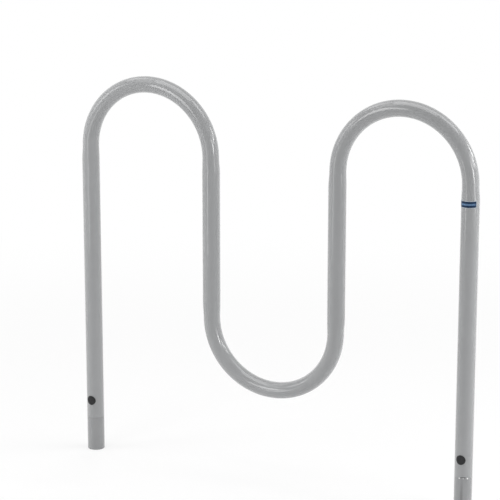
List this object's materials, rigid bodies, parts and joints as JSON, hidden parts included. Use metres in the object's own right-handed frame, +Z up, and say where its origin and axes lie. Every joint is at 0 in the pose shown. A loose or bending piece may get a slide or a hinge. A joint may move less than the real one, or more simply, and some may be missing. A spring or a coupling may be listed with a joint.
{
  "type": "wave bike rack",
  "caption": "Wave bike rack: a bent grey steel tube in an M shape on short feet that bolt to the ground, with black bolt caps and a plain label.",
  "frame": {"origin": "halfway between the two feet, on the ground", "axes": "+X along the rack to the foot with the label's leg, -Y to the front with the bolt caps, +Z up"},
  "size_m": [1.0174, 0.0436, 0.9587],
  "materials": {
    "powder_coat": "glossy light-grey powder coat on steel",
    "foot_coat": "glossy light-grey powder coat on steel",
    "zinc_plate": "satin zinc-plated steel",
    "bolt_steel": "satin zinc-plated steel",
    "black_plastic": "satin black polyethylene",
    "label_film": "printed vinyl film, plain blue bands with a pale border, no text"
  },
  "bodies": {
    "root": {"wave_tube": "powder_coat", "left_foot": "foot_coat", "right_foot": "foot_coat", "left_spigot": "zinc_plate", "right_spigot": "zinc_plate", "weld_nuts": "bolt_steel", "cross_bolts": "bolt_steel", "left_bolt_cap": "black_plastic", "right_bolt_cap": "black_plastic", "label": "label_film"}
  },
  "joints": []
}
